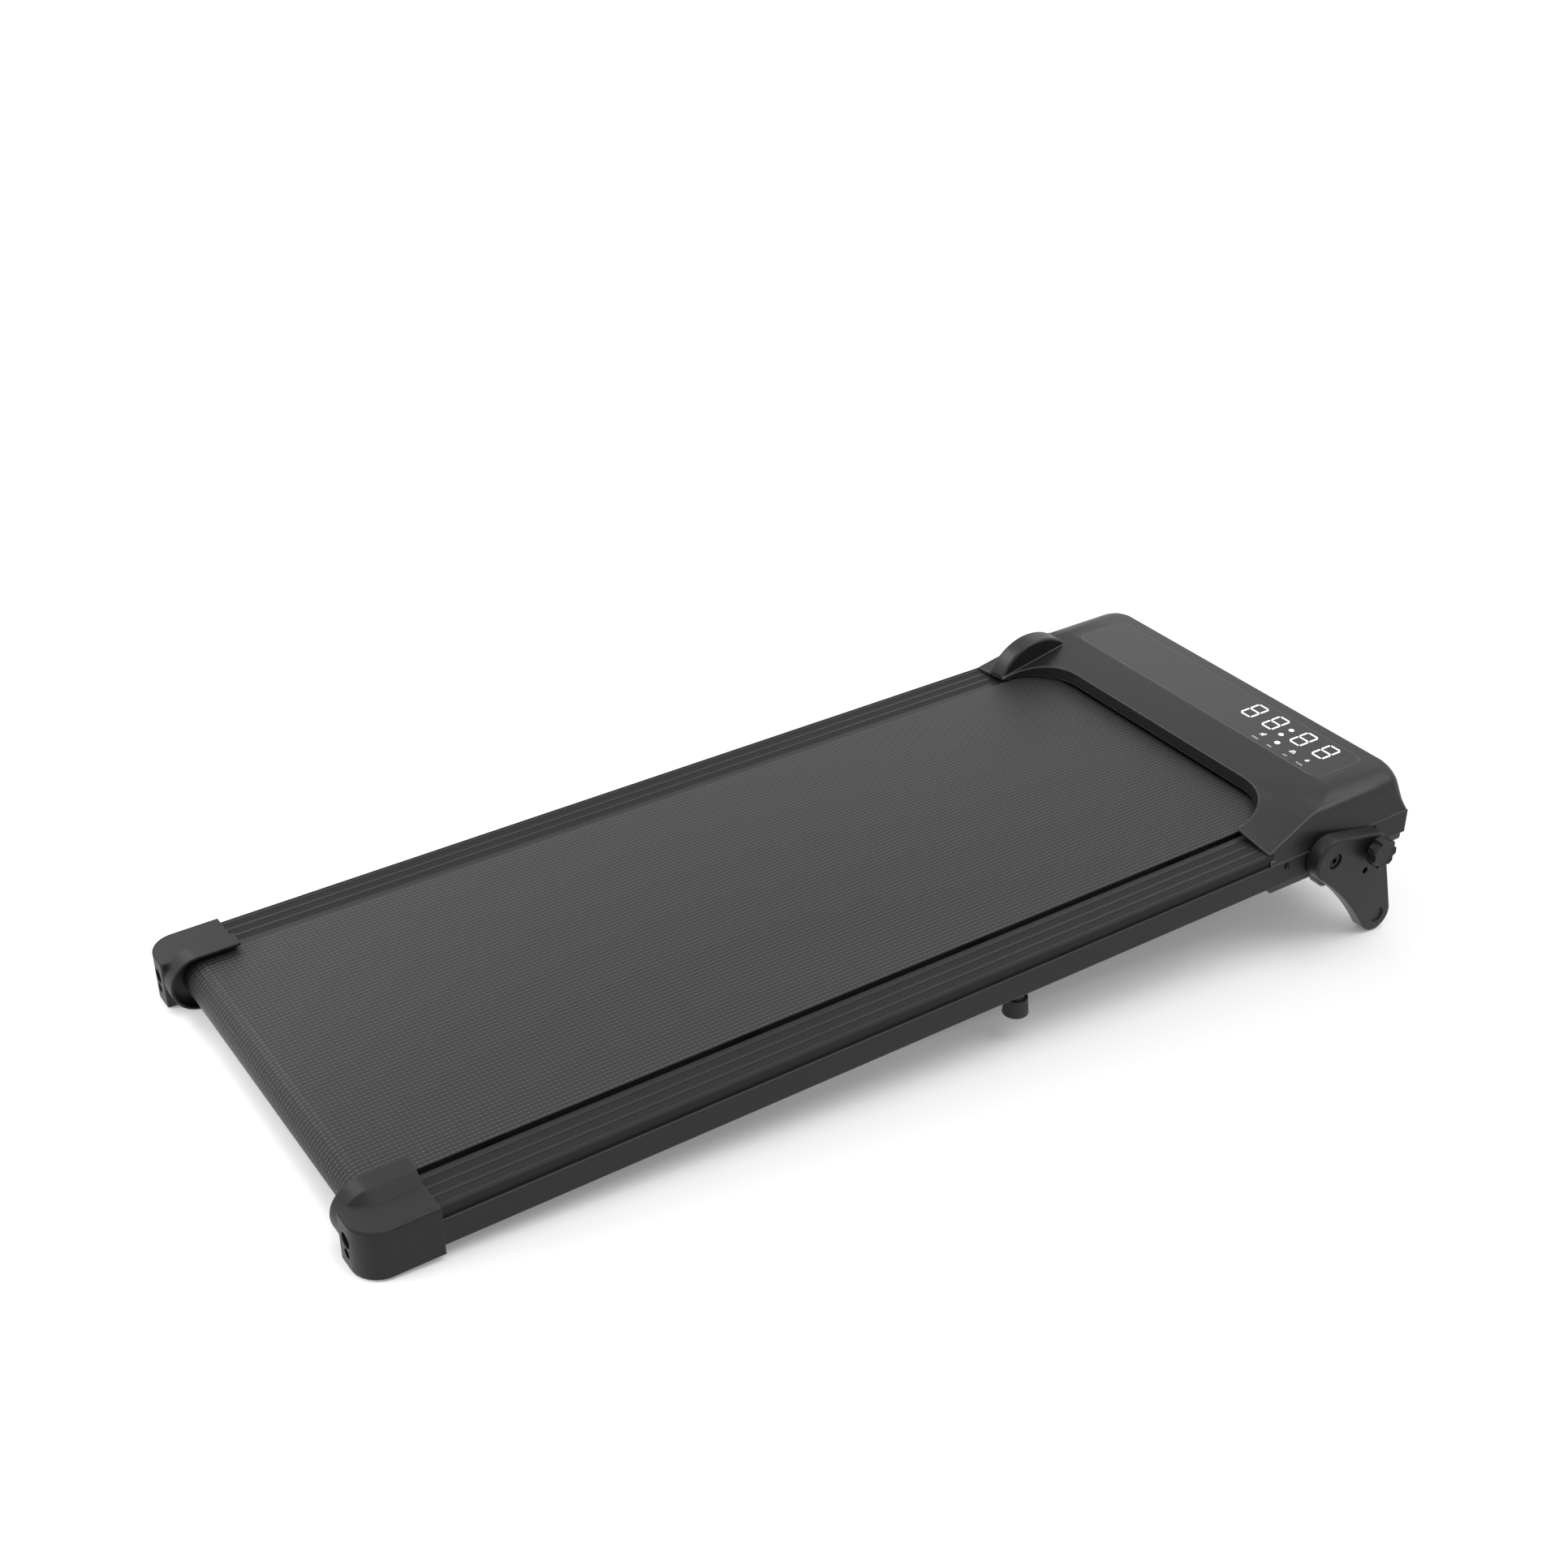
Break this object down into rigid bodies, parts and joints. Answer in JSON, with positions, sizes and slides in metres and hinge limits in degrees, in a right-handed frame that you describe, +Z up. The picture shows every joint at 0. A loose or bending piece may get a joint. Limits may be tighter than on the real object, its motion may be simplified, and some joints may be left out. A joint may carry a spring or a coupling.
{
  "type": "walking pad",
  "caption": "Flat under-desk treadmill with ribbed foot rails, a low motor hood with a display panel, rear end caps and fold-down incline legs that hold it nose-up.",
  "frame": {"origin": "on the floor, under the middle of the bounding box", "axes": "+X to the right as the walker faces the hood, +Y along the pad towards the hood, +Z up from the floor; the pad stands nose-up on its legs"},
  "size_m": [0.5526, 1.194, 0.17],
  "materials": {
    "painted_steel": "fine black powder coat",
    "anodised_rail": "dark anodised, ribbed along its length",
    "moulded_plastic": "fine-grained charcoal moulding",
    "leg_plastic": "fine-grained black moulding",
    "belt": "dark grey walking belt with a fine brick pattern",
    "deck_wood": "black film-faced fibreboard",
    "black_rubber": "dull black rubber",
    "roller_steel": "turned steel",
    "zinc_fastener": "black zinc",
    "pulley_metal": "bare aluminium",
    "gloss_panel": "smooth smoked display window",
    "motor_can": "satin black can",
    "circuit_board": "green board",
    "wheel_plastic": "dull black moulding",
    "switch_plastic": "smooth black",
    "entry_plastic": "dull black moulding"
  },
  "bodies": {
    "frame": {"bottom_pan": "moulded_plastic", "cap_screws": "zinc_fastener", "controller_board": "circuit_board", "cross_tube_1": "painted_steel", "cross_tube_2": "painted_steel", "cross_tube_3": "painted_steel", "cross_tube_4": "painted_steel", "deck_board": "deck_wood", "deck_cushions": "black_rubber", "display_board": "circuit_board", "display_panel": "gloss_panel", "drive_belt": "black_rubber", "end_cap_left": "moulded_plastic", "end_cap_right": "moulded_plastic", "front_axle": "roller_steel", "front_axle_plates": "painted_steel", "front_cross_member": "painted_steel", "heat_sink": "pulley_metal", "hood": "moulded_plastic", "mid_feet": "black_rubber", "mid_foot_collars": "wheel_plastic", "motor": "motor_can", "motor_bed": "painted_steel", "motor_cradles": "painted_steel", "overload_breaker": "entry_plastic", "pivot_bolts": "zinc_fastener", "pivot_washers": "zinc_fastener", "power_inlet": "entry_plastic", "rear_axle": "roller_steel", "rear_axle_plates": "painted_steel", "rear_feet": "black_rubber", "side_frame_left": "painted_steel", "side_frame_right": "painted_steel", "side_rail_left": "anodised_rail", "side_rail_right": "anodised_rail", "side_screws": "zinc_fastener", "switch_bezel": "entry_plastic", "walking_belt": "belt", "wheel_axles": "zinc_fastener", "wheel_bracket_left": "painted_steel", "wheel_bracket_right": "painted_steel"},
    "front_roller": {"front_roller": "roller_steel", "front_roller_bearings": "roller_steel", "roller_pulley": "pulley_metal"},
    "rear_roller": {"rear_roller": "roller_steel", "rear_roller_bearings": "roller_steel"},
    "motor_rotor": {"motor_shaft": "roller_steel", "motor_pulley": "pulley_metal"},
    "rocker": {"switch_rocker": "switch_plastic"},
    "leg_left": {"incline_leg_left": "leg_plastic"},
    "knob_left": {"knob_left": "leg_plastic"},
    "wheel_left": {"transport_wheel_left": "wheel_plastic"},
    "tension_left": {"tension_bolt_left": "zinc_fastener"},
    "leg_right": {"incline_leg_right": "leg_plastic"},
    "knob_right": {"knob_right": "leg_plastic"},
    "wheel_right": {"transport_wheel_right": "wheel_plastic"},
    "tension_right": {"tension_bolt_right": "zinc_fastener"}
  },
  "joints": [
    {"name": "leg_left_fold", "type": "hinge", "parent": "frame", "child": "leg_left", "pos_m": [-0.26, 0.46855, 0.10971], "axis": [1, 0, 0], "range_deg": [0, 27]},
    {"name": "knob_left_turn", "type": "hinge", "parent": "leg_left", "child": "knob_left", "pos_m": [-0.26, 0.52474, 0.11073], "axis": [1, 0, 0], "continuous": true},
    {"name": "wheel_left_spin", "type": "hinge", "parent": "frame", "child": "wheel_left", "pos_m": [-0.223, 0.49883, 0.06786], "axis": [1, 0, 0], "continuous": true},
    {"name": "tension_left_turn", "type": "hinge", "parent": "frame", "child": "tension_left", "pos_m": [-0.213, -0.57764, 0.03082], "axis": [0, 0.9969, 0.0785], "continuous": true},
    {"name": "leg_right_fold", "type": "hinge", "parent": "frame", "child": "leg_right", "pos_m": [0.26, 0.46855, 0.10971], "axis": [1, 0, 0], "range_deg": [0, 27]},
    {"name": "knob_right_turn", "type": "hinge", "parent": "leg_right", "child": "knob_right", "pos_m": [0.26, 0.52474, 0.11073], "axis": [1, 0, 0], "continuous": true},
    {"name": "wheel_right_spin", "type": "hinge", "parent": "frame", "child": "wheel_right", "pos_m": [0.223, 0.49883, 0.06786], "axis": [1, 0, 0], "continuous": true},
    {"name": "tension_right_turn", "type": "hinge", "parent": "frame", "child": "tension_right", "pos_m": [0.213, -0.57764, 0.03082], "axis": [0, 0.9969, 0.0785], "continuous": true},
    {"name": "front_roller_spin", "type": "hinge", "parent": "frame", "child": "front_roller", "pos_m": [0, 0.44724, 0.11155], "axis": [1, 0, 0], "continuous": true},
    {"name": "rear_roller_spin", "type": "hinge", "parent": "frame", "child": "rear_roller", "pos_m": [0, -0.55765, 0.0324], "axis": [1, 0, 0], "continuous": true},
    {"name": "motor_spin", "type": "hinge", "parent": "frame", "child": "motor_rotor", "pos_m": [0, 0.53885, 0.13281], "axis": [1, 0, 0], "continuous": true},
    {"name": "rocker_tip", "type": "hinge", "parent": "frame", "child": "rocker", "pos_m": [-0.114, 0.58997, 0.11547], "axis": [0, -0.0785, 0.9969], "range_deg": [0, 16]}
  ],
  "couplings": [
    {"joint": "rear_roller_spin", "follows": "front_roller_spin", "ratio": 1},
    {"joint": "motor_spin", "follows": "front_roller_spin", "ratio": 3}
  ]
}
